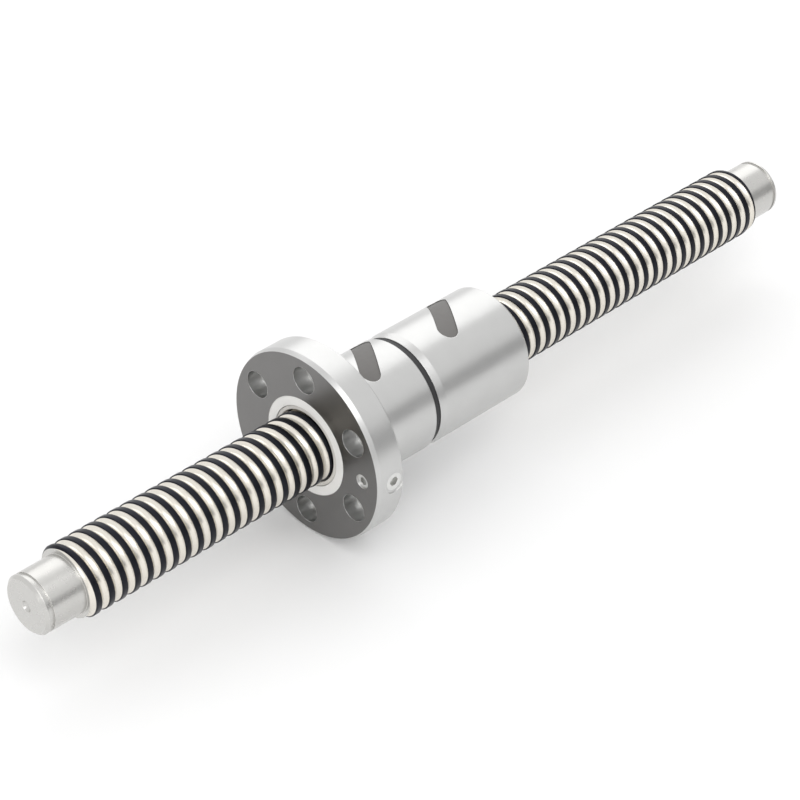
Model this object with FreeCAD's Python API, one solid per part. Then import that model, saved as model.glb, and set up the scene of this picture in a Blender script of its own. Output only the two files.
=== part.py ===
"""Ball screw with a flanged double nut: screw shaft, two nut halves, ball circuits and wipers.

All lengths are in millimetres. X runs along the screw and out of the rear face of the flange,
Z is up, and the origin is the centre of that rear face, which seats on the housing.
Angles round the axis are measured from Y towards Z.
"""
import math
import os

import FreeCAD
import Part

V = FreeCAD.Vector

# Screw: nominal diameter and lead, right-hand, one start.
LEAD = 5.0
SCREW_R = 12.5
THREAD_X0 = -108.3
THREAD_X1 = 199.2
THREAD_CHAMFER = 0.8

# Turned bearing journals beyond the thread, with a circlip groove and a centre hole.
JOURNAL_STEP = 2.5
JOURNAL_R = SCREW_R - JOURNAL_STEP
JOURNAL_LEN = 15.0
JOURNAL_CHAMFER = 1.0
CLIP_GROOVE_DEPTH = 0.5
CLIP_GROOVE_R = JOURNAL_R - CLIP_GROOVE_DEPTH
CLIP_GROOVE_X = 12.0
CLIP_GROOVE_W = 1.3
CENTRE_HOLE_R = 2.0
CENTRE_HOLE_DEPTH = 4.0

# Balls and the tracks they run in.
BALL_R = 3.175 / 2
BALL_PITCH_LIFT = 0.35
BALL_PITCH_R = SCREW_R + BALL_PITCH_LIFT
BALL_SPACING = 3.45
SCREW_TRACK_GAP = 0.25
NUT_TRACK_GAP = 0.12
TRACK_FLANK = 35.0
TRACK_OVERRUN = 0.4
TRACK_RUN_OUT = 3.0
FACES_PER_TURN = 2
RACE_OVERRUN = 1.5
CIRCUIT_TURNS = 3
PICKUP_ANGLE = 44.0
RETURN_LIFT = 4.15
RETURN_R = BALL_PITCH_R + RETURN_LIFT
RETURN_LIFT_ANGLE = 18.0
RETURN_CROSS_ANGLE = 33.0
RETURN_PLAY = 0.16
RETURN_CHANNEL_R = BALL_R + RETURN_PLAY

# Flanged nut half: bore round the screw, wall round the bore and flange round the wall.
BORE_GAP = 0.8
BORE_R = SCREW_R + BORE_GAP
NUT_WALL = 6.7
BODY_R = BORE_R + NUT_WALL
FLANGE_REACH = 13.5
FLANGE_R = BODY_R + FLANGE_REACH
FLANGE_T = 11.0
FLANGE_CHAMFER_X = 1.7
FLANGE_CHAMFER_R = 0.6
FLANGE_BACK_CHAMFER = 0.5
SEAM_ANGLE = -45.0  # where the round faces close, clear of pocket, key and ports
FRONT_END = 28.6
FRONT_END_CHAMFER = 0.4

# Six counterbored holes for M5 cap screws.
BOLT_COUNT = 6
BOLT_RIM_STEP = 8.0
BOLT_PCD_R = FLANGE_R - BOLT_RIM_STEP
BOLT_HOLE_R = 2.75
BOLT_HEAD_R = 4.75
BOLT_HEAD_DEPTH = 5.5
BOLT_FIRST_ANGLE = 30.0

# Spacer between the halves and the rear half.
SPACER_W = 2.2
SPACER_STEP = 0.8
SPACER_R = BODY_R - SPACER_STEP
SPACER_BORE_GAP = 0.9
SPACER_KEY_GAP = 0.2
REAR_START = FRONT_END + SPACER_W
REAR_END = 73.0
REAR_LEAD_IN_X = 2.7
REAR_LEAD_IN_R = 0.55
REAR_CHAMFER = 1.5

# Wiper at each end: pocket, split retainer and the ring it holds.
WIPER_RING_PLAY = 0.3
WIPER_RING_BORE_R = SCREW_R + WIPER_RING_PLAY
WIPER_RING_WALL = 2.0
WIPER_RING_R = WIPER_RING_BORE_R + WIPER_RING_WALL
RETAINER_CAVITY_R = WIPER_RING_R + WIPER_RING_PLAY
RETAINER_LIP_HOLD = 0.6
RETAINER_LIP_R = WIPER_RING_R - RETAINER_LIP_HOLD
RETAINER_LIP_W = 0.6
RETAINER_WALL = 2.4
RETAINER_FIT = 0.03
WIPER_POCKET_R = RETAINER_CAVITY_R + RETAINER_WALL
WIPER_DEPTH = 4.5
GARTER_SINK = 0.35
GARTER_R = WIPER_RING_R - GARTER_SINK
GARTER_WIRE_R = 0.45
GARTER_GROOVE_R = 0.5

# Slanted pocket through each half and the return insert in it.
POCKET_ANGLE = 82.0
POCKET_HALF_WIDTH = 3.38
POCKET_HALF_LENGTH = 9.3
POCKET_SLANT = 33.6
POCKET_BOTTOM = 7.5
FRONT_CIRCUIT_X = 18.0
REAR_CIRCUIT_X = FRONT_CIRCUIT_X + 7 * LEAD
INSERT_PLAY = 0.06
INSERT_FLOOR = 0.6
INSERT_INNER_R = RETURN_R - RETURN_CHANNEL_R - INSERT_FLOOR
INSERT_SPLIT_R = RETURN_R
INSERT_SINK = 0.35
INSERT_OUTER_R = BODY_R - INSERT_SINK

# Key across the spacer, on the side away from the pockets.
KEY_ANGLE = 262.0
KEY_W = 5.0
KEY_X0 = 19.7
KEY_X1 = 39.7
KEY_SLOT_DEPTH = 3.0
KEY_FLOOR = BODY_R - KEY_SLOT_DEPTH
KEY_SINK = 0.4
KEY_TOP = BODY_R - KEY_SINK
KEY_PLAY = 0.03
KEY_SCREW_X = (23.7, 35.7)
KEY_SCREW_R = 1.25
KEY_SCREW_HEAD_R = 1.95
KEY_SCREW_HEAD_T = 1.4
KEY_SCREW_REACH = 1.6
KEY_SCREW_END = KEY_FLOOR - KEY_SCREW_REACH

# Grease ports: one in the rim, one in the front face, both closed by a plug.
PORT_ANGLE = 180.0
PORT_X = -3.8
PORT_R = 3.0
PORT_DEPTH = 4.1
PORT_FLOOR = FLANGE_R - PORT_DEPTH
PORT_SPOT_R = 4.1
PORT_SPOT_DEPTH = 0.55
GREASE_DRILL_R = 1.25
FACE_PORT_RIM_STEP = 7.4
FACE_PORT_R = FLANGE_R - FACE_PORT_RIM_STEP
FACE_PLUG_R = 2.5
FACE_PLUG_DEPTH = 4.0
PLUG_SINK = 0.5
SOCKET_FLATS = 2.5
SOCKET_DEPTH = 2.0
MAKE_OVER = 2.0


def along_x(shape):
    """Turn a shape built round Z so that its axis is X and its start angle is on Y."""
    turned = shape.copy()
    turned.Placement = FreeCAD.Placement(V(0, 0, 0), FreeCAD.Rotation(V(1, 1, 1), 120))
    return turned


def at_angle(shape, angle):
    """Swing a shape built at angle zero to the stated angle round the screw axis."""
    swung = shape.copy()
    swung.rotate(V(0, 0, 0), V(1, 0, 0), angle)
    return swung


def disc(radius, x0, x1):
    """Solid cylinder on the screw axis."""
    return Part.makeCylinder(radius, x1 - x0, V(x0, 0, 0), V(1, 0, 0))


def turned(points):
    """Solid of revolution round the screw axis from (x, radius) corners."""
    corners = [V(x, r, 0) for x, r in points]
    face = Part.Face(Part.makePolygon(corners + corners[:1]))
    return face.revolve(V(0, 0, 0), V(1, 0, 0), 360)


def radial(radius, r0, r1, x, angle):
    """Cylinder pointing outwards from the axis."""
    return at_angle(Part.makeCylinder(radius, r1 - r0, V(x, r0, 0), V(0, 1, 0)), angle)


def hex_socket(flats, depth):
    """Hexagonal prism along Z, from below zero up to the depth."""
    corner = flats / math.sqrt(3)
    ring = [V(corner * math.cos(math.radians(60 * i)), corner * math.sin(math.radians(60 * i)), 0)
            for i in range(6)]
    face = Part.Face(Part.makePolygon(ring + ring[:1]))
    return face.extrude(V(0, 0, depth))


def track_x(angle):
    """Axial place of the track centre at an angle, on the turn that starts the front circuit."""
    start = FRONT_CIRCUIT_X - circuit_span() / 2
    return start + LEAD * (angle - POCKET_ANGLE - PICKUP_ANGLE) / 360


def circuit_angle():
    """Angle of helix that the loaded balls of one circuit fill."""
    return 360 * CIRCUIT_TURNS - 2 * PICKUP_ANGLE


def circuit_span():
    """Axial length of one circuit."""
    return LEAD * circuit_angle() / 360


def helical_bar(profile, angle, turns):
    """Solid that winds a closed (radius, axial offset) profile along the track, in short faces."""
    pieces = math.ceil(turns * FACES_PER_TURN)
    step = turns / pieces
    faces = []
    for i in range(pieces):
        curves = []
        for r, dx in profile:
            curve = Part.makeHelix(LEAD, step * LEAD, r)
            curve.rotate(V(0, 0, 0), V(0, 0, 1), 360 * step * i)
            curve.translate(V(0, 0, dx + LEAD * step * i))
            curves.append(Part.Wire(curve.Edges))
        for one, two in zip(curves, curves[1:] + curves[:1]):
            faces += Part.makeRuledSurface(one, two).Faces
    for end in (0.0, turns):
        swing = math.radians(360 * end)
        corners = [V(r * math.cos(swing), r * math.sin(swing), dx + LEAD * end) for r, dx in profile]
        faces.append(Part.Face(Part.makePolygon(corners + corners[:1])))
    shell = Part.makeShell(faces)
    shell.sewShape()
    bar = at_angle(along_x(Part.Solid(shell)), angle)
    bar.translate(V(track_x(angle), 0, 0))
    return bar


def groove_profile(gap, side, open_r):
    """Four corners that clear a ball by the gap, deep on the side of the axis (-1) or the nut (1)."""
    reach = BALL_R + gap
    deep = BALL_PITCH_R + side * reach
    flank = math.radians(TRACK_FLANK)
    slope = math.tan(flank)
    half_deep = reach * (1 / math.cos(flank) - slope)
    half_open = half_deep + abs(open_r - deep) * slope
    return [(open_r, -half_open), (deep, -half_deep), (deep, half_deep), (open_r, half_open)]


def angle_at(x):
    """Angle of the track where it passes an axial place."""
    return POCKET_ANGLE + PICKUP_ANGLE + 360 * (x - FRONT_CIRCUIT_X + circuit_span() / 2) / LEAD


def screw_shaft():
    """Shaft with its ball track, chamfered thread ends, journals, circlip grooves and centres."""
    tip0 = THREAD_X0 - JOURNAL_LEN
    tip1 = THREAD_X1 + JOURNAL_LEN
    half = [
        (THREAD_X1 - THREAD_CHAMFER, SCREW_R),
        (THREAD_X1, SCREW_R - THREAD_CHAMFER),
        (THREAD_X1, JOURNAL_R),
        (THREAD_X1 + CLIP_GROOVE_X, JOURNAL_R),
        (THREAD_X1 + CLIP_GROOVE_X, CLIP_GROOVE_R),
        (THREAD_X1 + CLIP_GROOVE_X + CLIP_GROOVE_W, CLIP_GROOVE_R),
        (THREAD_X1 + CLIP_GROOVE_X + CLIP_GROOVE_W, JOURNAL_R),
        (tip1 - JOURNAL_CHAMFER, JOURNAL_R),
        (tip1, JOURNAL_R - JOURNAL_CHAMFER),
    ]
    middle = THREAD_X0 + THREAD_X1
    other = [(middle - x, r) for x, r in reversed(half)]
    count = int((THREAD_X1 - THREAD_X0) / LEAD)
    rings = [(THREAD_X0 + LEAD * i, SCREW_R) for i in range(1, count)]
    blank = turned([(tip0, 0)] + other + rings + half + [(tip1, 0)])
    track0 = THREAD_X0 - TRACK_RUN_OUT
    turns = (THREAD_X1 + TRACK_RUN_OUT - track0) / LEAD
    groove = groove_profile(SCREW_TRACK_GAP, -1, SCREW_R + TRACK_OVERRUN)
    shaft = blank.cut(helical_bar(groove, angle_at(track0), turns))
    for tip, way in ((tip0, 1), (tip1, -1)):
        drill = Part.makeCylinder(CENTRE_HOLE_R / 2, CENTRE_HOLE_DEPTH, V(tip, 0, 0), V(way, 0, 0))
        cone = Part.makeCone(CENTRE_HOLE_R, 0, CENTRE_HOLE_R * math.sqrt(3), V(tip, 0, 0), V(way, 0, 0))
        shaft = shaft.cut(drill.fuse(cone))
    return shaft


def pocket_prism(centre_x, play, low, high):
    """Slanted round-ended block that points out of the nut at the pocket angle."""
    r = POCKET_HALF_WIDTH - play
    length = POCKET_HALF_LENGTH
    side = Part.makeBox(2 * length, 2 * r, high - low, V(-length, -r, low))
    ends = [Part.makeCylinder(r, high - low, V(s * length, 0, low)) for s in (-1, 1)]
    block = side.fuse(ends).removeSplitter()
    block.rotate(V(0, 0, 0), V(0, 0, 1), 90 - POCKET_SLANT)
    block.rotate(V(0, 0, 0), V(1, 0, 0), POCKET_ANGLE - 90)
    block.translate(V(centre_x, 0, 0))
    return block


def smooth(value):
    """Ease from 0 to 1 with level ends."""
    value = min(1.0, max(0.0, value))
    return value * value * (3 - 2 * value)


def return_point(centre_x, u):
    """Ball centre on the way back, u degrees past the middle of the pocket."""
    lift = smooth((PICKUP_ANGLE - abs(u)) / (PICKUP_ANGLE - RETURN_LIFT_ANGLE))
    r = BALL_PITCH_R + (RETURN_R - BALL_PITCH_R) * lift
    cross = smooth((u + RETURN_CROSS_ANGLE) / (2 * RETURN_CROSS_ANGLE))
    late = circuit_span() / 2 + LEAD * (u + PICKUP_ANGLE) / 360
    early = -circuit_span() / 2 - LEAD * (PICKUP_ANGLE - u) / 360
    x = centre_x + late + (early - late) * cross
    swing = math.radians(POCKET_ANGLE + u)
    return V(x, r * math.cos(swing), r * math.sin(swing))


def return_channel(centre_x):
    """Round tunnel that carries the balls back over the middle turns."""
    steps = 12
    points = [return_point(centre_x, PICKUP_ANGLE * (2 * i / steps - 1)) for i in range(steps + 1)]
    tunnel = Part.makeSphere(RETURN_CHANNEL_R, points[0])
    for one, two in zip(points, points[1:]):
        way = two.sub(one)
        tunnel = tunnel.fuse(Part.makeCylinder(RETURN_CHANNEL_R, way.Length, one, way))
        tunnel = tunnel.fuse(Part.makeSphere(RETURN_CHANNEL_R, two))
    return tunnel


def nut_track(centre_x):
    """Helical race for the balls of one circuit, a little longer than the circuit."""
    x = centre_x - circuit_span() / 2 - RACE_OVERRUN
    turns = (circuit_span() + 2 * RACE_OVERRUN) / LEAD
    return helical_bar(groove_profile(NUT_TRACK_GAP, 1, BORE_R - TRACK_OVERRUN), angle_at(x), turns)


def key_slot(play):
    """Block that fills the key slot less the play on each side."""
    low = KEY_FLOOR + play
    width = KEY_W - 2 * play
    block = Part.makeBox(KEY_X1 - KEY_X0 - 2 * play, BODY_R - low + MAKE_OVER, width,
                         V(KEY_X0 + play, low, -width / 2))
    return at_angle(block, KEY_ANGLE)


def bolt_holes():
    """Through holes and counterbores on the bolt circle."""
    tools = []
    for i in range(BOLT_COUNT):
        hole = Part.makeCylinder(BOLT_HOLE_R, FLANGE_T + 2 * MAKE_OVER,
                                 V(-FLANGE_T - MAKE_OVER, BOLT_PCD_R, 0), V(1, 0, 0))
        head = Part.makeCylinder(BOLT_HEAD_R, BOLT_HEAD_DEPTH + MAKE_OVER,
                                 V(-FLANGE_T - MAKE_OVER, BOLT_PCD_R, 0), V(1, 0, 0))
        tools.append(at_angle(hole.fuse(head), BOLT_FIRST_ANGLE + 360 * i / BOLT_COUNT))
    return tools


def flanged_nut():
    """Front half: flange, body, race, wiper pocket, return pocket, bolt holes and grease drillings."""
    body = at_angle(turned([
        (-FLANGE_T, BORE_R),
        (-FLANGE_T, FLANGE_R - FLANGE_CHAMFER_R),
        (-FLANGE_T + FLANGE_CHAMFER_X, FLANGE_R),
        (-FLANGE_BACK_CHAMFER, FLANGE_R),
        (0, FLANGE_R - FLANGE_BACK_CHAMFER),
        (0, BODY_R),
        (FRONT_END - FRONT_END_CHAMFER, BODY_R),
        (FRONT_END, BODY_R - FRONT_END_CHAMFER),
        (FRONT_END, BORE_R),
    ]), SEAM_ANGLE)
    wiper = disc(WIPER_POCKET_R, -FLANGE_T - MAKE_OVER, -FLANGE_T + WIPER_DEPTH)
    tools = bolt_holes() + [
        wiper,
        pocket_prism(FRONT_CIRCUIT_X, 0, POCKET_BOTTOM, BODY_R + MAKE_OVER),
        key_slot(0),
        radial(KEY_SCREW_R, KEY_SCREW_END, BODY_R, KEY_SCREW_X[0], KEY_ANGLE),
        radial(PORT_R, PORT_FLOOR, FLANGE_R + MAKE_OVER, PORT_X, PORT_ANGLE),
        radial(PORT_SPOT_R, FLANGE_R - PORT_SPOT_DEPTH, FLANGE_R + MAKE_OVER, PORT_X, PORT_ANGLE),
        radial(GREASE_DRILL_R, BORE_R - 1, PORT_FLOOR + 1, PORT_X, PORT_ANGLE),
        at_angle(Part.makeCylinder(FACE_PLUG_R, FACE_PLUG_DEPTH + MAKE_OVER,
                                   V(-FLANGE_T - MAKE_OVER, FACE_PORT_R, 0), V(1, 0, 0)), PORT_ANGLE),
        at_angle(Part.makeCylinder(GREASE_DRILL_R, FLANGE_T + PORT_X,
                                   V(-FLANGE_T, FACE_PORT_R, 0), V(1, 0, 0)), PORT_ANGLE),
    ]
    body = body.cut(nut_track(FRONT_CIRCUIT_X))
    body = body.cut(tools)
    return body.cut(return_channel(FRONT_CIRCUIT_X))


def rear_nut():
    """Rear half: lead-in chamfer, race, return pocket, key slot and wiper pocket."""
    body = turned([
        (REAR_START, BORE_R),
        (REAR_START, BODY_R - REAR_LEAD_IN_R),
        (REAR_START + REAR_LEAD_IN_X, BODY_R),
        (REAR_END - REAR_CHAMFER, BODY_R),
        (REAR_END, BODY_R - REAR_CHAMFER),
        (REAR_END, BORE_R),
    ])
    tools = [
        disc(WIPER_POCKET_R, REAR_END - WIPER_DEPTH, REAR_END + MAKE_OVER),
        pocket_prism(REAR_CIRCUIT_X, 0, POCKET_BOTTOM, BODY_R + MAKE_OVER),
        key_slot(0),
        radial(KEY_SCREW_R, KEY_SCREW_END, BODY_R, KEY_SCREW_X[1], KEY_ANGLE),
    ]
    body = body.cut(nut_track(REAR_CIRCUIT_X))
    body = body.cut(tools)
    return body.cut(return_channel(REAR_CIRCUIT_X))


def preload_spacer():
    """Ground ring between the halves, open where the key passes."""
    ring = disc(SPACER_R, FRONT_END, REAR_START)
    ring = ring.cut(disc(BORE_R + SPACER_BORE_GAP, FRONT_END - MAKE_OVER, REAR_START + MAKE_OVER))
    width = KEY_W + 2 * SPACER_KEY_GAP
    gap = Part.makeBox(SPACER_W + 2 * MAKE_OVER, SPACER_R, width, V(FRONT_END - MAKE_OVER, 0, -width / 2))
    return ring.cut(at_angle(gap, KEY_ANGLE))


def wiper_retainer(face, way):
    """Channel-section ring pressed into the wiper pocket; way points into the nut."""
    depth = WIPER_DEPTH - RETAINER_FIT
    outer = WIPER_POCKET_R - RETAINER_FIT
    return turned([
        (face, RETAINER_LIP_R),
        (face, outer),
        (face + way * depth, outer),
        (face + way * depth, RETAINER_LIP_R),
        (face + way * (depth - RETAINER_LIP_W), RETAINER_LIP_R),
        (face + way * (depth - RETAINER_LIP_W), RETAINER_CAVITY_R),
        (face + way * RETAINER_LIP_W, RETAINER_CAVITY_R),
        (face + way * RETAINER_LIP_W, RETAINER_LIP_R),
    ])


def wiper_centre(face, way):
    """Axial middle of the space inside a retainer."""
    return face + way * (WIPER_DEPTH - RETAINER_FIT) / 2


def wiper_ring(face, way):
    """Ring that floats in the retainer round the screw, grooved for its garter spring."""
    middle = wiper_centre(face, way)
    half = (WIPER_DEPTH - RETAINER_FIT) / 2 - RETAINER_LIP_W - WIPER_RING_PLAY
    ring = disc(WIPER_RING_R, middle - half, middle + half)
    ring = ring.cut(disc(WIPER_RING_BORE_R, middle - half - 1, middle + half + 1))
    return ring.cut(Part.makeTorus(GARTER_R, GARTER_GROOVE_R, V(middle, 0, 0), V(1, 0, 0)))


def garter_spring(face, way):
    """Closed spring that hugs the wiper ring."""
    return Part.makeTorus(GARTER_R, GARTER_WIRE_R, V(wiper_centre(face, way), 0, 0), V(1, 0, 0))


def insert_block(centre_x, inner, outer):
    """Shell of the return insert between two radii, with the tunnel cut from it."""
    block = pocket_prism(centre_x, INSERT_PLAY, POCKET_BOTTOM - MAKE_OVER, BODY_R + MAKE_OVER)
    reach = 2 * POCKET_HALF_LENGTH
    shell = disc(outer, centre_x - reach, centre_x + reach)
    shell = shell.cut(disc(inner, centre_x - reach - 1, centre_x + reach + 1))
    return block.common(shell).cut(return_channel(centre_x))


def return_base(centre_x):
    """Inner half of a return insert, which lifts the balls off the screw."""
    return insert_block(centre_x, INSERT_INNER_R, INSERT_SPLIT_R)


def return_cap(centre_x):
    """Outer half of a return insert, which closes the tunnel and shows in the pocket."""
    return insert_block(centre_x, INSERT_SPLIT_R, INSERT_OUTER_R)


def loaded_balls(centre_x):
    """Balls between screw and nut, evenly spread along the helix of one circuit."""
    length = math.hypot(2 * math.pi * BALL_PITCH_R, LEAD) * circuit_angle() / 360
    count = int(length / BALL_SPACING)
    balls = []
    for i in range(count):
        angle = POCKET_ANGLE + PICKUP_ANGLE + circuit_angle() * (i + 0.5) / count
        x = track_x(angle) + centre_x - FRONT_CIRCUIT_X
        swing = math.radians(angle)
        balls.append(Part.makeSphere(BALL_R, V(x, BALL_PITCH_R * math.cos(swing),
                                               BALL_PITCH_R * math.sin(swing))))
    return Part.makeCompound(balls)


def return_balls(centre_x):
    """Balls on their way back through the tunnel of one circuit."""
    steps = 400
    points = [return_point(centre_x, PICKUP_ANGLE * (2 * i / steps - 1)) for i in range(steps + 1)]
    lengths = [0.0]
    for one, two in zip(points, points[1:]):
        lengths.append(lengths[-1] + two.sub(one).Length)
    count = int(lengths[-1] / BALL_SPACING)
    balls = []
    for i in range(count):
        wanted = lengths[-1] * (i + 0.5) / count
        nearest = min(range(steps + 1), key=lambda n: abs(lengths[n] - wanted))
        balls.append(Part.makeSphere(BALL_R, points[nearest]))
    return Part.makeCompound(balls)


def locking_key():
    """Key that stops the halves turning against each other."""
    key = key_slot(KEY_PLAY).common(at_angle(
        Part.makeBox(KEY_X1, KEY_TOP, KEY_W, V(0, 0, -KEY_W / 2)), KEY_ANGLE))
    for x in KEY_SCREW_X:
        key = key.cut(radial(KEY_SCREW_R + 0.1, KEY_FLOOR - 1, BODY_R, x, KEY_ANGLE))
        key = key.cut(radial(KEY_SCREW_HEAD_R + 0.1, KEY_TOP - KEY_SCREW_HEAD_T - 0.1, BODY_R, x, KEY_ANGLE))
    return key


def key_screws():
    """Two countersunk-depth cap screws that hold the key."""
    screws = []
    for x in KEY_SCREW_X:
        low = KEY_TOP - KEY_SCREW_HEAD_T
        shank = radial(KEY_SCREW_R - 0.02, KEY_SCREW_END + 0.1, low + 0.1, x, KEY_ANGLE)
        head = radial(KEY_SCREW_HEAD_R, low, KEY_TOP - 0.1, x, KEY_ANGLE)
        socket = hex_socket(1.3, 1.0)
        socket.rotate(V(0, 0, 0), V(1, 0, 0), -90)
        socket.translate(V(x, KEY_TOP - 0.9, 0))
        screws.append(shank.fuse(head).cut(at_angle(socket, KEY_ANGLE)).removeSplitter())
    return Part.makeCompound(screws)


def rim_plug():
    """Screwed plug in the grease port of the flange rim."""
    top = FLANGE_R - PORT_SPOT_DEPTH
    plug = radial(PORT_R - 0.02, PORT_FLOOR + 0.1, top, PORT_X, PORT_ANGLE)
    socket = hex_socket(SOCKET_FLATS + 0.5, SOCKET_DEPTH)
    socket.rotate(V(0, 0, 0), V(1, 0, 0), -90)
    socket.translate(V(PORT_X, top - SOCKET_DEPTH + 0.1, 0))
    return plug.cut(at_angle(socket, PORT_ANGLE))


def face_plug():
    """Screwed plug in the grease port of the flange's front face."""
    start = -FLANGE_T + PLUG_SINK
    plug = Part.makeCylinder(FACE_PLUG_R - 0.02, FACE_PLUG_DEPTH - PLUG_SINK - 0.1,
                             V(start, FACE_PORT_R, 0), V(1, 0, 0))
    socket = hex_socket(SOCKET_FLATS, SOCKET_DEPTH)
    socket.rotate(V(0, 0, 0), V(0, 1, 0), 90)
    socket.translate(V(start - 0.1, FACE_PORT_R, 0))
    return at_angle(plug.cut(socket), PORT_ANGLE)


def build():
    """Every node of the ball screw by name."""
    front = (-FLANGE_T, 1)
    rear = (REAR_END, -1)
    return {
        "screw_shaft": screw_shaft(),
        "flanged_nut": flanged_nut(),
        "rear_nut": rear_nut(),
        "preload_spacer": preload_spacer(),
        "front_wiper_retainer": wiper_retainer(*front),
        "rear_wiper_retainer": wiper_retainer(*rear),
        "front_wiper_ring": wiper_ring(*front),
        "rear_wiper_ring": wiper_ring(*rear),
        "front_garter_spring": garter_spring(*front),
        "rear_garter_spring": garter_spring(*rear),
        "front_return_base": return_base(FRONT_CIRCUIT_X),
        "rear_return_base": return_base(REAR_CIRCUIT_X),
        "front_return_cap": return_cap(FRONT_CIRCUIT_X),
        "rear_return_cap": return_cap(REAR_CIRCUIT_X),
        "front_loaded_balls": loaded_balls(FRONT_CIRCUIT_X),
        "rear_loaded_balls": loaded_balls(REAR_CIRCUIT_X),
        "front_return_balls": return_balls(FRONT_CIRCUIT_X),
        "rear_return_balls": return_balls(REAR_CIRCUIT_X),
        "locking_key": locking_key(),
        "key_screws": key_screws(),
        "rim_grease_plug": rim_plug(),
        "face_grease_plug": face_plug(),
    }


def main():
    """Write one STEP file per node and print a line on each."""
    os.makedirs("parts", exist_ok=True)
    for name, shape in build().items():
        print(name, shape.ShapeType, len(shape.Solids), shape.isValid(), round(shape.Volume, 1))
        shape.exportStep("parts/" + name + ".step")


main()
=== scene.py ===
"""Looks of a ball screw with a flanged double nut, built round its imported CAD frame.

Lengths in this file are millimetres unless a name says otherwise; meshes are made in metres.
X runs along the screw, Z is up, and angles round the screw are measured from Y towards Z.
"""
import math

import bmesh
import bpy
import numpy as np
from bpy.props import FloatProperty, FloatVectorProperty, IntProperty, PointerProperty
from mathutils import Matrix, Vector


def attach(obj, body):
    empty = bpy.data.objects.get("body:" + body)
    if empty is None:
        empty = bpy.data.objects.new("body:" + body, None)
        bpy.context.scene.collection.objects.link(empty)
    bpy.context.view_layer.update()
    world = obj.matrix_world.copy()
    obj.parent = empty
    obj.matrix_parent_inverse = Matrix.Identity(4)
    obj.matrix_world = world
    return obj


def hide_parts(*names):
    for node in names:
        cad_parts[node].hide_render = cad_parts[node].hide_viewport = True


bl_info = {
    "name": "Ball screw with flanged double nut",
    "version": (1, 0, 0),
    "blender": (4, 5, 0),
    "location": "View3D > Sidebar > Ball screw",
    "description": "Threaded shaft, nut halves, ball returns, wipers and studio",
    "category": "Add Mesh",
}

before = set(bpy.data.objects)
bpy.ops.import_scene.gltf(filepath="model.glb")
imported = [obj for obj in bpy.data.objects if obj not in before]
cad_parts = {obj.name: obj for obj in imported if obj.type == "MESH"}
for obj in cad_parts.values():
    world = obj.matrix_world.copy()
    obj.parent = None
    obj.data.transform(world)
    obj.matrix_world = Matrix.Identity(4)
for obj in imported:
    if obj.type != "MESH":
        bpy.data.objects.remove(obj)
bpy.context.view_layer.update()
MM = 0.001

# Screw: thread, end chamfers, journals with circlip grooves and centre holes.
LEAD = 5.0
SCREW_R = 12.5
THREAD_X0 = -108.3
THREAD_X1 = 199.2
THREAD_CHAMFER = 0.8
JOURNAL_R = 10.0
JOURNAL_LEN = 15.0
JOURNAL_CHAMFER = 1.0
CLIP_GROOVE_R = 9.5
CLIP_GROOVE_X = 12.0
CLIP_GROOVE_W = 1.3
CENTRE_R = 2.0
CENTRE_DEPTH = 3.46
CENTRE_RIM = 0.3

# Ball track: a gothic arch 4 percent wider than the ball, each half shifted across the middle.
BALL_R = 3.175 / 2
BALL_PITCH_R = 12.85
ARCH_R = 1.04 * BALL_R
ARCH_SHIFT = 0.044
ARCH_STEPS = (0.4, 0.75, 1.05)
GROUND_HALF = 1.42
LAND_BREAK_W = 0.08
LAND_BREAK_DROP = 0.02
LAND_STEP = 0.4
SPARE_TURNS = 3
TRACK, LAND, JOURNAL = range(3)

# Ball circuit that the track has to meet.
CIRCUIT_X = 18.0
POCKET_ANGLE = 82.0
PICKUP_ANGLE = 44.0
CIRCUIT_ANGLE = 360 * 3 - 2 * PICKUP_ANGLE

# Nut faces, wiper retainers and the rings they hold.
FRONT_X = -11.0
REAR_X = 73.0
WIPER_DEPTH = 4.47
RETAINER_R = 17.47
RETAINER_LIP_R = 14.2
RETAINER_LIP_W = 0.6
RETAINER_CAVITY_R = 15.1
RING_R = 14.8
RING_BORE_R = 12.8
RING_SINK = 0.9
RING_NOSE_R = 14.05
RING_NOSE_SINK = 0.15
WIPER_EDGE = 0.12

# Patterns of the finishes. Real grinding and turning marks are 0.02 to 0.2 apart and a moulding's
# grain is 0.05, too fine to show here, so feeds and grains are drawn as coarse as they need to show.
STEEL_CLOUD = 7.0
STEEL_GLOSS_PATCH = 2.5
STEEL_GRAIN = 0.5
TRACK_FEED = 0.16
JOURNAL_FEED = 0.3
FACE_FEED = 0.35
MOULD_CLOUD = 5.0
MOULD_GLOSS_PATCH = 1.5
MOULD_GRAIN = 0.3
MARK_DEPTH = 0.01
FACE_MARGIN = 0.02  # the painted shade on the flange's face ends this far behind it

# Strength of those patterns: detail of the noise and the stretch of it that is used, share and colour
# of the film on steel and the bloom on plastic, roughness either way with its own detail, and bump.
NOISE_DETAIL = 2.0
NOISE_LOW = 0.35
NOISE_HIGH = 0.65
FILM_SHARE = 0.025
FILM = "2c2b2a"
STEEL_GLOSS = (-0.01, 0.012)
STEEL_GLOSS_DETAIL = 4.0
STEEL_BUMP = 0.25
BLOOM_SHARE = 0.04
BLOOM = "8a8782"
MOULD_GLOSS = (-0.03, 0.03)
MOULD_GLOSS_DETAIL = 3.0
MOULD_BUMP = 0.2

# Colour sockets of the Mix node, by number because its sockets for values have the same names.
MIX_UNDER = 6
MIX_OVER = 7
MIX_RESULT = 2

# Broken edges: radius, samples, and the likeness of bent and flat normal at an edge and off it.
EDGE_BREAK = 0.2
EDGE_SAMPLES = 6
EDGE_LIKENESS = (0.8, 0.99)

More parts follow.
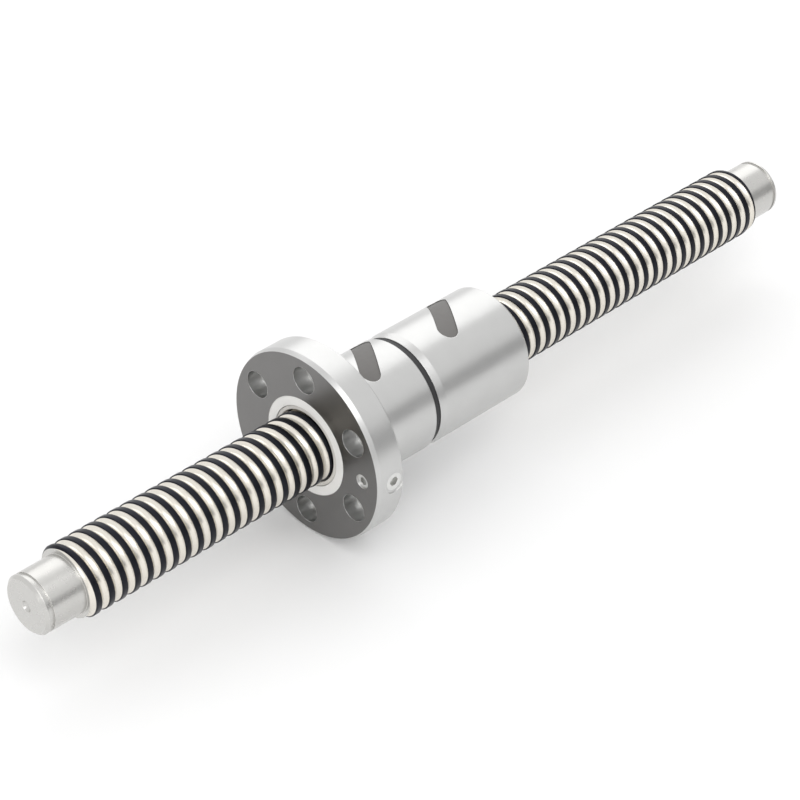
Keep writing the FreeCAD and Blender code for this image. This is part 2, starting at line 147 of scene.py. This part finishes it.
# Meshes: sides of turned pieces, angle of a sharp edge, and distances in metres at which points merge.
TURNED_SIDES = 128
SHARP_ANGLE = 32.0
MERGE_DISTANCE = 1e-7
FLAT_DISTANCE = 1e-8

# Camera fitted to the photo: place, aim, lens and film width.
CAMERA_AT = (-470.1, -509.6, 516.1)
CAMERA_AIM = (0.5673, 0.5766, -0.5879)
CAMERA_LENS = 121.24
SENSOR = 36.0
CAMERA_FAR = 20000.0

# Studio: floor, roughness of its card and the grey one, aim of the soft square lights, and each
# light's setting, place and width.
FLOOR_Z = -33.5
FLOOR_HALF = 3000.0
CARD_ROUGHNESS = 0.9
LIGHT_AIM = (30.0, 0.0, 0.0)
LIGHTS = {
    "Key light": ("key", (-150, -500, 900), 700),
    "Back light": ("back", (560, 520, 600), 900),
    "Fill light": ("fill", (-650, -450, 500), 400),
}

# Grey card outside the picture: foot of its middle, width and height.
CARD_AT = (579.0, -711.0)
CARD_WIDTH = 1500.0
CARD_HEIGHT = 360.0


def linear(value):
    """Colour of an sRGB hex value such as "c8c8c6", each channel turned to linear light."""
    channels = [int(value[i:i + 2], 16) / 255 for i in (0, 2, 4)]
    return tuple(c / 12.92 if c <= 0.04045 else ((c + 0.055) / 1.055) ** 2.4 for c in channels) + (1.0,)


def add_node(tree, kind, inputs=(), **settings):
    """Adds a node with its settings and fills its inputs.

    Inputs are pairs of an input's name or number and a value. A value that is a socket of another
    node is linked to the input.
    """
    made = tree.nodes.new(kind)
    for key, value in settings.items():
        setattr(made, key, value)
    for target, value in inputs:
        if isinstance(value, bpy.types.NodeSocket):
            tree.links.new(value, made.inputs[target])
        else:
            made.inputs[target].default_value = value
    return made


def new_material(name):
    """Empty node material with its shader and output joined: returns material, tree and shader."""
    material = bpy.data.materials.new(name)
    material.use_nodes = True
    tree = material.node_tree
    tree.nodes.clear()
    shader = add_node(tree, "ShaderNodeBsdfPrincipled")
    add_node(tree, "ShaderNodeOutputMaterial", [("Surface", shader.outputs[0])])
    return material, tree, shader


def grain(tree, size, detail=NOISE_DETAIL):
    """Noise in the object's own coordinates, with patches about the size in millimetres."""
    place = add_node(tree, "ShaderNodeTexCoord").outputs["Object"]
    inputs = [("Vector", place), ("Scale", 1 / (size * MM)), ("Detail", detail)]
    return add_node(tree, "ShaderNodeTexNoise", inputs).outputs[0]


def clouds(tree, size, low, high, detail=NOISE_DETAIL):
    """Soft patches about the size in millimetres, with values from low to high.

    The middle stretch of a noise, where most of its values lie, is carried over to that range.
    """
    inputs = [("Value", grain(tree, size, detail)), ("From Min", NOISE_LOW), ("From Max", NOISE_HIGH),
              ("To Min", low), ("To Max", high)]
    return add_node(tree, "ShaderNodeMapRange", inputs).outputs[0]


def turning_marks(tree, feed):
    """Height of turning marks, rings round the screw axis.

    It is the sine of the distance from the axis plus the distance along it, one wave for each feed.
    """
    place = add_node(tree, "ShaderNodeTexCoord").outputs["Object"]
    apart = add_node(tree, "ShaderNodeSeparateXYZ", [(0, place)])
    across = add_node(tree, "ShaderNodeCombineXYZ", [("Y", apart.outputs[1]), ("Z", apart.outputs[2])])
    radius = add_node(tree, "ShaderNodeVectorMath", [(0, across.outputs[0])], operation="LENGTH")
    distance = add_node(tree, "ShaderNodeMath", [(0, radius.outputs["Value"]), (1, apart.outputs[0])],
                        operation="ADD")
    angle = add_node(tree, "ShaderNodeMath", [(0, distance.outputs[0]), (1, 2 * math.pi / (feed * MM))],
                     operation="MULTIPLY")
    return add_node(tree, "ShaderNodeMath", [(0, angle.outputs[0])], operation="SINE").outputs[0]


def broken_edge(tree):
    """Normal that runs round edges as a small break would, and how near an edge is, from 0 to 1.

    An edge is near where the rounded normal and the flat one point different ways, so their dot
    product, carried over from the range of likeness to 1 and 0, gives the nearness.
    """
    rounded = add_node(tree, "ShaderNodeBevel", [("Radius", EDGE_BREAK * MM)], samples=EDGE_SAMPLES)
    flat = add_node(tree, "ShaderNodeNewGeometry")
    alike = add_node(tree, "ShaderNodeVectorMath", [(0, rounded.outputs[0]), (1, flat.outputs["Normal"])],
                     operation="DOT_PRODUCT")
    at_edge, off_edge = EDGE_LIKENESS
    inputs = [("Value", alike.outputs["Value"]), ("From Min", at_edge), ("From Max", off_edge),
              ("To Min", 1.0), ("To Max", 0.0)]
    return rounded.outputs[0], add_node(tree, "ShaderNodeMapRange", inputs).outputs[0]


def tinted(tree, colour, tints):
    """Colour laid over in turn by each tint, as (share, colour) pairs of values or sockets."""
    for share, tint in tints:
        mix = add_node(tree, "ShaderNodeMix", [("Factor", share), (MIX_UNDER, colour), (MIX_OVER, tint)],
                       data_type="RGBA")
        colour = mix.outputs[MIX_RESULT]
    return colour


def finish(tree, shader, tone, gloss, height, strength, normal):
    """Joins colour, roughness and a normal that has a height pattern pressed into it to a shader."""
    bump = add_node(tree, "ShaderNodeBump", [("Height", height), ("Strength", strength),
                                             ("Distance", MARK_DEPTH * MM), ("Normal", normal)])
    for name, source in (("Base Color", tone), ("Roughness", gloss), ("Normal", bump.outputs[0])):
        tree.links.new(source, shader.inputs[name])


def steel_surface(tree, shader, colour, edge_wear_and_highlight, rough, height):
    """Steel with a faint film of oil in clouds, clouded gloss, and edges coloured lighter: partly wear,
    partly a painted highlight.
    """
    normal, edge = broken_edge(tree)
    film = clouds(tree, STEEL_CLOUD, 0.0, FILM_SHARE)
    # The edge colour is lighter: partly wear, partly a painted highlight.
    tone = tinted(tree, colour, [(film, linear(FILM)), (edge, edge_wear_and_highlight)])
    low, high = STEEL_GLOSS
    gloss = clouds(tree, STEEL_GLOSS_PATCH, rough + low, rough + high, STEEL_GLOSS_DETAIL)
    shader.inputs["Metallic"].default_value = 1.0
    finish(tree, shader, tone, gloss, height, STEEL_BUMP, normal)


def metal(name, colour, edge_wear_and_highlight, rough, feed=0.0):
    """Steel of one colour, with turning marks if a feed is given and otherwise with a fine grain."""
    material, tree, shader = new_material(name)
    height = turning_marks(tree, feed) if feed else grain(tree, STEEL_GRAIN)
    steel_surface(tree, shader, colour, edge_wear_and_highlight, rough, height)
    return material


def nut_steel(name, light, dark, edge_wear_and_highlight, rough):
    """Bearing steel with turning marks: light, but for the flange's front face, which is coloured darker as
    painted shade.
    """
    material, tree, shader = new_material(name)
    place = add_node(tree, "ShaderNodeTexCoord").outputs["Object"]
    apart = add_node(tree, "ShaderNodeSeparateXYZ", [(0, place)])
    # Mask of the flange's front face, which gets the painted shade colour.
    face = add_node(tree, "ShaderNodeMath", [(0, apart.outputs[0]), (1, (FRONT_X + FACE_MARGIN) * MM)],
                    operation="LESS_THAN")
    colour = tinted(tree, light, [(face.outputs[0], dark)])
    steel_surface(tree, shader, colour, edge_wear_and_highlight, rough, turning_marks(tree, FACE_FEED))
    return material


def plastic(name, colour, rough):
    """Moulded plastic with a faint cloud in its colour and gloss and a fine spark-eroded grain."""
    material, tree, shader = new_material(name)
    normal, _ = broken_edge(tree)
    bloom = clouds(tree, MOULD_CLOUD, 0.0, BLOOM_SHARE)
    tone = tinted(tree, colour, [(bloom, linear(BLOOM))])
    low, high = MOULD_GLOSS
    gloss = clouds(tree, MOULD_GLOSS_PATCH, rough + low, rough + high, MOULD_GLOSS_DETAIL)
    finish(tree, shader, tone, gloss, grain(tree, MOULD_GRAIN), MOULD_BUMP, normal)
    return material


def mesh_object(name, points, faces, materials, indices=None):
    """Object from points in millimetres, smooth apart from edges over the sharp angle."""
    mesh = bpy.data.meshes.new(name)
    mesh.vertices.add(len(points))
    mesh.vertices.foreach_set("co", (np.asarray(points, dtype=np.float32) * MM).ravel())
    faces = np.asarray(faces, dtype=np.int32)
    mesh.loops.add(faces.size)
    mesh.loops.foreach_set("vertex_index", faces.ravel())
    mesh.polygons.add(len(faces))
    mesh.polygons.foreach_set("loop_start", np.arange(len(faces), dtype=np.int32) * faces.shape[1])
    for material in materials:
        mesh.materials.append(material)
    if indices is not None:
        mesh.polygons.foreach_set("material_index", np.asarray(indices, dtype=np.int32))
    mesh.update(calc_edges=True)
    work = bmesh.new()
    work.from_mesh(mesh)
    bmesh.ops.remove_doubles(work, verts=work.verts, dist=MERGE_DISTANCE)
    bmesh.ops.dissolve_degenerate(work, edges=work.edges, dist=FLAT_DISTANCE)
    bmesh.ops.recalc_face_normals(work, faces=work.faces)
    work.to_mesh(mesh)
    work.free()
    mesh.shade_smooth()
    mesh.set_sharp_from_angle(angle=math.radians(SHARP_ANGLE))
    made = bpy.data.objects.new(name, mesh)
    bpy.context.scene.collection.objects.link(made)
    return made


def grid_faces(rows, columns):
    """Quads of a grid of rows by columns, row by row, facing along (next column) x (next row)."""
    corner = np.arange(rows * columns).reshape(rows, columns)
    return np.stack([corner[:-1, :-1], corner[:-1, 1:], corner[1:, 1:], corner[1:, :-1]], -1).reshape(-1, 4)


def lathe(name, profile, materials):
    """Surface of revolution: each (x, radius) corner of a closed profile goes once round the axis."""
    line = np.array(profile + profile[:1])
    swing = np.linspace(0, 2 * math.pi, TURNED_SIDES + 1)[:, None]
    x = np.broadcast_to(line[None, :, 0], (TURNED_SIDES + 1, len(line)))
    points = np.stack([x, line[None, :, 1] * np.cos(swing), line[None, :, 1] * np.sin(swing)], -1)
    return mesh_object(name, points.reshape(-1, 3), grid_faces(*x.shape), materials)


def eased(profile, edge):
    """The closed profile with broken edges, which catch the light.

    Each corner becomes two: one lies the edge's length before it and one the same length after it.
    """
    line = np.array(profile)
    before = line - np.roll(line, 1, axis=0)
    after = np.roll(line, -1, axis=0) - line
    before /= np.linalg.norm(before, axis=1)[:, None]
    after /= np.linalg.norm(after, axis=1)[:, None]
    return np.stack([line - edge * before, line + edge * after], 1).reshape(-1, 2).tolist()


def groove_half():
    """Half the width of the ball track where its arch meets the land.

    It is half the chord that the land's height cuts from one arc, less that arc's shift.
    """
    return math.sqrt(ARCH_R ** 2 - (BALL_PITCH_R - SCREW_R) ** 2) - ARCH_SHIFT


def groove_radius(offset):
    """Radius at an axial offset from the track's centre.

    Two arcs of the arch's radius cross at the root. The land outside them falls off by a small
    drop over its last stretch, so its edge is broken.
    """
    reach = np.abs(offset) + ARCH_SHIFT
    arc = BALL_PITCH_R - np.sqrt(np.clip(ARCH_R ** 2 - reach ** 2, 0.0, None))
    near = np.clip((groove_half() + LAND_BREAK_W - np.abs(offset)) / LAND_BREAK_W, 0.0, 1.0)
    land = SCREW_R - LAND_BREAK_DROP * near
    return np.where(reach < ARCH_R, np.minimum(arc, land), land)


def journal_profile():
    """Corners of the left journal as (radius, distance from the thread's end), from the tip inwards."""
    tip = -JOURNAL_LEN
    return [
        (0.0, tip + CENTRE_DEPTH),
        (CENTRE_R, tip),
        (CENTRE_R + CENTRE_RIM, tip),
        (JOURNAL_R - JOURNAL_CHAMFER, tip),
        (JOURNAL_R, tip + JOURNAL_CHAMFER),
        (JOURNAL_R, -CLIP_GROOVE_X - CLIP_GROOVE_W),
        (CLIP_GROOVE_R, -CLIP_GROOVE_X - CLIP_GROOVE_W),
        (CLIP_GROOVE_R, -CLIP_GROOVE_X),
        (JOURNAL_R, -CLIP_GROOVE_X),
        (JOURNAL_R, 0.0),
    ]


def screw_surface(segments):
    """Points, quads and material index of the shaft.

    Each row is a line of points along the shaft at one angle. On the thread a point lies at the
    track's place at that angle plus a whole number of leads plus an offset, so the edges of the
    track are edges of the mesh. The radius there is that of the gothic groove, cut by the end chamfers.
    """
    side = np.array(ARCH_STEPS + (GROUND_HALF, groove_half(), groove_half() + LAND_BREAK_W))
    offsets = np.concatenate([-side[::-1], [0.0], side, [LEAD / 2 - LAND_STEP, LEAD / 2]])
    turns = int((THREAD_X1 - THREAD_X0) / LEAD) + SPARE_TURNS
    start = CIRCUIT_X - LEAD * (CIRCUIT_ANGLE / 2 + POCKET_ANGLE + PICKUP_ANGLE) / 360
    start += LEAD * math.floor((THREAD_X0 - start) / LEAD - 1)
    line = (start + LEAD * np.arange(turns)[:, None] + offsets[None, :]).ravel()
    ground = np.tile(np.abs(offsets) <= GROUND_HALF, turns)
    swing = np.linspace(0, 2 * math.pi, segments + 1)[:, None]
    centre_shift = LEAD * swing / (2 * math.pi)
    x = np.clip(line[None, :] + centre_shift, THREAD_X0, THREAD_X1)
    offset = (x - centre_shift - start + LEAD / 2) % LEAD - LEAD / 2
    depth = np.minimum(x - THREAD_X0, THREAD_X1 - x)
    r = np.minimum(groove_radius(offset), SCREW_R - THREAD_CHAMFER + depth)
    end_r, end_x = np.array(journal_profile()).T
    wide = (segments + 1, len(end_r))
    left = THREAD_X0 + end_x
    right = THREAD_X1 - end_x[::-1]
    x = np.hstack([np.broadcast_to(left, wide), x, np.broadcast_to(right, wide)])
    r = np.hstack([np.broadcast_to(end_r, wide), r, np.broadcast_to(end_r[::-1], wide)])
    points = np.stack([x, r * np.cos(swing), r * np.sin(swing)], -1).reshape(-1, 3)
    ends = np.full(len(end_r), JOURNAL)
    index = np.concatenate([ends, np.where(ground[:-1] & ground[1:], TRACK, LAND), ends])
    return points, grid_faces(*x.shape), np.tile(index, segments)


def colour_setting(name, description, value):
    """Colour property whose default is an sRGB hex value."""
    return FloatVectorProperty(name=name, description=description, default=linear(value), size=4,
                               min=0, max=1, subtype="COLOR")


class ShaftSettings(bpy.types.PropertyGroup):
    """Shape and finish of the screw shaft."""

    segments: IntProperty(name="Segments", description="Sides of the shaft's mesh", default=56, min=24,
                          max=96)
    # Track and land colours paint the thread's light and shade: the pale track is partly painted light, the
    # near-black land is painted shade.
    track: colour_setting("Track", "Colour of the ground ball track", "e9e4da")
    land: colour_setting("Land", "Colour of the black land between the turns of the track", "26272d")
    journal: colour_setting("Journal", "Colour of the ground bearing journals", "c9c8c5")


class NutSettings(bpy.types.PropertyGroup):
    """Finish of the nut halves and the spacer between them."""

    body: colour_setting("Body", "Colour of the ground body and flange rim", "c8c8c7")
    # The flange face colour is painted shade: a darker copy of the nut steel for the upright face under the
    # overhead light.
    face: colour_setting("Flange face", "Colour of the turned front face of the flange", "7c7b7a")
    # The spacer's dark colour is painted shade of the recessed joint.
    spacer: colour_setting("Spacer", "Colour of the spacer ring painted with the joint's shade", "4a4a4b")


class PlasticSettings(bpy.types.PropertyGroup):
    """Colours of the mouldings and the edge break of the wipers."""

    insert: colour_setting("Return insert", "Colour of the nylon ball returns", "6c6a68")
    retainer: colour_setting("Wiper retainer", "Colour of the acetal wiper retainers", "f4f3f0")
    ring: colour_setting("Wiper ring", "Colour of the wiper rings", "dddad4")
    edge: FloatProperty(name="Edge", description="Break along the edges of retainers and wiper rings",
                        default=WIPER_EDGE * MM, min=0, unit="LENGTH")


class StudioSettings(bpy.types.PropertyGroup):
    """Strength of the studio's lights."""

    key: FloatProperty(name="Key", description="Power of the light overhead", default=2.2, min=0,
                       unit="POWER")
    back: FloatProperty(name="Back", description="Power of the light behind", default=2.0, min=0,
                        unit="POWER")
    fill: FloatProperty(name="Fill", description="Power of the light from the front", default=1.2, min=0,
                        unit="POWER")
    sky: FloatProperty(name="Sky", description="Strength of the even light from all round", default=0.82,
                       min=0, max=1, subtype="FACTOR")


class BALLSCREW_OT_shaft(bpy.types.Operator):
    """Makes the screw shaft with its gothic-arch ball track and turned journals."""

    bl_idname = "ballscrew.shaft"
    bl_label = "Screw shaft"

    def execute(self, context):
        settings = context.scene.ballscrew_shaft
        # Hardened steel, ground and honed: pale and warm, partly its finish and partly painted light, with
        # marks that draw highlights along the track.
        track = metal("Ground track steel", tuple(settings.track), linear("f4f1ea"), rough=0.24,
                      feed=TRACK_FEED)
        # The land is coloured near black as painted shade of the thread's turns: satin, and lighter grey
        # along its edges, partly wear and partly a painted highlight.
        land = metal("Black hardened land", tuple(settings.land), linear("4a4c55"), rough=0.36)
        # Cylindrically ground seat: brighter than the nut, with soft rings round the axis.
        journal = metal("Ground journal steel", tuple(settings.journal), linear("f0efec"), rough=0.28,
                        feed=JOURNAL_FEED)
        points, faces, index = screw_surface(settings.segments)
        shaft = mesh_object("threaded_shaft", points, faces, [track, land, journal], index)
        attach(shaft, "screw")
        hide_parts("screw_shaft")
        return {"FINISHED"}


def dress(finishes):
    """Puts one material on each named CAD node."""
    for name, material in finishes.items():
        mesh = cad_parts[name].data
        mesh.materials.clear()
        mesh.materials.append(material)


class BALLSCREW_OT_nut(bpy.types.Operator):
    """Gives both nut halves, the spacer, key, screws and plugs their steel finishes."""

    bl_idname = "ballscrew.nut"
    bl_label = "Nut halves and fastenings"

    def execute(self, context):
        settings = context.scene.ballscrew_nut
        # Ground bearing steel: a soft bright grey; the flange's upright front face is coloured darker as
        # painted shade.
        nut = nut_steel("Ground nut steel", tuple(settings.body), tuple(settings.face), linear("eeeeec"),
                        rough=0.3)
        # Turned steel, matt, coloured dark as painted shade of the recessed joint, so the ring reads as the
        # joint.
        spacer = metal("Blackened spacer steel", tuple(settings.spacer), linear("77777a"), rough=0.5)
        # Cold-drawn bar: mid grey with a dull shine.
        key = metal("Drawn key steel", linear("8d8d8c"), linear("b8b8b6"), rough=0.4)
        # Black oxide on alloy steel, worn grey at the rims of the heads, partly a painted highlight.
        screw = metal("Black oxide screw steel", linear("3a3a3c"), linear("6c6c70"), rough=0.4)
        # Zinc plating: the palest metal here, a spot of light in the rim and in the dark face.
        plug = metal("Zinc plated plug", linear("dcdcda"), linear("f2f2f0"), rough=0.3)
        dress({"flanged_nut": nut, "rear_nut": nut, "preload_spacer": spacer, "locking_key": key,
               "key_screws": screw, "rim_grease_plug": plug, "face_grease_plug": plug})
        return {"FINISHED"}


class BALLSCREW_OT_returns(bpy.types.Operator):
    """Gives the ball returns their dark moulding and balls and springs their steel."""

    bl_idname = "ballscrew.returns"
    bl_label = "Ball returns and balls"

    def execute(self, context):
        # Glass-filled nylon: a warm dark grey with a dull grain, far darker than the steel round it.
        insert = tuple(context.scene.ballscrew_plastic.insert)
        nylon = plastic("Dark grey glass-filled nylon", insert, rough=0.55)
        # Lapped chrome steel: the sharpest reflections of all.
        ball = metal("Polished bearing balls", linear("e8e8ea"), linear("e8e8ea"), rough=0.08)
        # Drawn stainless wire: mid grey and satin.
        wire = metal("Spring wire", linear("9a9a9a"), linear("c4c4c2"), rough=0.35)
        parts = {"return_base": nylon, "return_cap": nylon, "loaded_balls": ball, "return_balls": ball,
                 "garter_spring": wire}
        dress({side + "_" + part: material for side in ("front", "rear") for part, material in parts.items()})
        return {"FINISHED"}


class BALLSCREW_OT_wipers(bpy.types.Operator):
    """Makes the white wiper retainers and the rings they hold at both ends of the nut."""

    bl_idname = "ballscrew.wipers"
    bl_label = "Wipers"

    def execute(self, context):
        settings = context.scene.ballscrew_plastic
        # Turned acetal: a clean white with a low shine, the brightest ring of the nut's face.
        white = plastic("White acetal", tuple(settings.retainer), rough=0.42)
        # Softer plastic, coloured a little darker than the retainer, so the line between the two rings shows.
        cream = plastic("Off-white wiper plastic", tuple(settings.ring), rough=0.5)
        inner = WIPER_DEPTH - RETAINER_LIP_W
        channel = [
            (0.0, RETAINER_LIP_R),
            (0.0, RETAINER_R),
            (WIPER_DEPTH, RETAINER_R),
            (WIPER_DEPTH, RETAINER_LIP_R),
            (inner, RETAINER_LIP_R),
            (inner, RETAINER_CAVITY_R),
            (RETAINER_LIP_W, RETAINER_CAVITY_R),
            (RETAINER_LIP_W, RETAINER_LIP_R),
        ]
        nosed = [
            (RING_NOSE_SINK, RING_BORE_R),
            (RING_NOSE_SINK, RING_NOSE_R),
            (RING_SINK, RING_NOSE_R),
            (RING_SINK, RING_R),
            (WIPER_DEPTH - RING_SINK, RING_R),
            (WIPER_DEPTH - RING_SINK, RING_BORE_R),
        ]
        pieces = (("_white_retainer", channel, white, "nut", "_wiper_retainer", "wiper_white"),
                  ("_ring", nosed, cream, "wiper_rings", "_wiper_ring", "wiper_ring"))
        for side, face, way in (("front", FRONT_X, 1), ("rear", REAR_X, -1)):
            for name, section, material, body, node, slot in pieces:
                profile = [(face + way * x, r) for x, r in eased(section, settings.edge / MM)]
                piece = lathe(side + name, profile, [material])
                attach(piece, body)
                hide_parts(side + node)
        return {"FINISHED"}


def aim(place, target):
    """Matrix of something at a place that looks at a target with Z up, both in metres."""
    way = Vector(target) - Vector(place)
    return Matrix.Translation(place) @ way.to_track_quat("-Z", "Y").to_matrix().to_4x4()


def area_light(name, place, size, power):
    """Square soft light at a place in millimetres, aimed at the nut."""
    lamp = bpy.data.lights.new(name, "AREA")
    lamp.size = size * MM
    lamp.energy = power
    made = bpy.data.objects.new(name, lamp)
    made.matrix_world = aim(Vector(place) * MM, Vector(LIGHT_AIM) * MM)
    bpy.context.scene.collection.objects.link(made)


def floor():
    """Pale floor that takes the object's shadow."""
    # Matt white card: plain, without gloss, so nothing but the shadow shows on it.
    material, _, shader = new_material("White card")
    shader.inputs["Base Color"].default_value = linear("fbfbfb")
    shader.inputs["Roughness"].default_value = CARD_ROUGHNESS
    corners = [(x * FLOOR_HALF, y * FLOOR_HALF, FLOOR_Z) for x, y in ((-1, -1), (1, -1), (1, 1), (-1, 1))]
    return mesh_object("floor", corners, [(0, 1, 2, 3)], [material])


def grey_card():
    """Card that stands outside the picture, so that the polished steel has something darker to reflect."""
    half = Vector((-CARD_AT[1], CARD_AT[0], 0)).normalized() * CARD_WIDTH / 2
    low = Vector((CARD_AT[0], CARD_AT[1], FLOOR_Z))
    high = Vector((0, 0, CARD_HEIGHT))
    points = [low - half, low + half, low + half + high, low - half + high]
    # Matt grey card: seen only as the darker band along the side of the nut.
    card = plastic("Grey card", linear("b4b4b4"), CARD_ROUGHNESS)
    return mesh_object("card", [tuple(p) for p in points], [(0, 1, 2, 3)], [card])


def surroundings(scene, strength):
    """Even light of a strength from all round, which camera and reflections see as plain white."""
    world = bpy.data.worlds.new("Studio")
    world.use_nodes = True
    scene.world = world
    tree = world.node_tree
    tree.nodes.clear()
    path = add_node(tree, "ShaderNodeLightPath")
    seen = path.outputs["Is Camera Ray"]
    for ray in ("Is Glossy Ray", "Is Transmission Ray"):
        seen = add_node(tree, "ShaderNodeMath", [(0, seen), (1, path.outputs[ray])],
                        operation="MAXIMUM").outputs[0]
    level = add_node(tree, "ShaderNodeMapRange", [("Value", seen), ("To Min", strength), ("To Max", 1.0)])
    light = add_node(tree, "ShaderNodeBackground", [("Color", linear("ffffff")),
                                                    ("Strength", level.outputs[0])])
    add_node(tree, "ShaderNodeOutputWorld", [("Surface", light.outputs[0])])


def photo_camera(scene):
    """Camera at the photo's viewing angle."""
    camera = bpy.data.cameras.new("Camera")
    camera.lens = CAMERA_LENS
    camera.sensor_width = SENSOR
    camera.clip_end = CAMERA_FAR * MM
    made = bpy.data.objects.new("Camera", camera)
    place = Vector(CAMERA_AT) * MM
    made.matrix_world = aim(place, place + Vector(CAMERA_AIM))
    scene.collection.objects.link(made)
    scene.camera = made


class BALLSCREW_OT_stage(bpy.types.Operator):
    """Sets up the pale floor, soft lights, bright surroundings and the photo's camera."""

    bl_idname = "ballscrew.stage"
    bl_label = "Stage"

    def execute(self, context):
        settings = context.scene.ballscrew_studio
        context.scene.view_settings.view_transform = "Standard"
        floor()
        grey_card()
        surroundings(context.scene, settings.sky)
        for name, (setting, place, size) in LIGHTS.items():
            area_light(name, place, size, getattr(settings, setting))
        photo_camera(context.scene)
        return {"FINISHED"}


class BALLSCREW_PT_panel(bpy.types.Panel):
    """Sidebar list of the ball screw's pieces and settings."""

    bl_label = "Ball screw"
    bl_space_type = "VIEW_3D"
    bl_region_type = "UI"
    bl_category = "Ball screw"

    def draw(self, context):
        for name in SETTINGS:
            group = getattr(context.scene, name)
            for setting in group.__annotations__:
                self.layout.prop(group, setting)
        for operator in OPERATORS:
            self.layout.operator(operator.bl_idname)


SETTINGS = {
    "ballscrew_shaft": ShaftSettings,
    "ballscrew_nut": NutSettings,
    "ballscrew_plastic": PlasticSettings,
    "ballscrew_studio": StudioSettings,
}
OPERATORS = (BALLSCREW_OT_shaft, BALLSCREW_OT_nut, BALLSCREW_OT_returns, BALLSCREW_OT_wipers,
             BALLSCREW_OT_stage)
CLASSES = tuple(SETTINGS.values()) + OPERATORS + (BALLSCREW_PT_panel,)


def register():
    """Registers the classes and hangs the settings on the scene."""
    for item in CLASSES:
        bpy.utils.register_class(item)
    for name, group in SETTINGS.items():
        setattr(bpy.types.Scene, name, PointerProperty(type=group))


def unregister():
    """Takes the settings and classes away again."""
    for name in SETTINGS:
        delattr(bpy.types.Scene, name)
    for item in reversed(CLASSES):
        bpy.utils.unregister_class(item)


def main():
    """Builds every piece in order."""
    register()
    bpy.ops.ballscrew.shaft()
    bpy.ops.ballscrew.nut()
    bpy.ops.ballscrew.returns()
    bpy.ops.ballscrew.wipers()
    bpy.ops.ballscrew.stage()


if __name__ == "__main__":
    main()
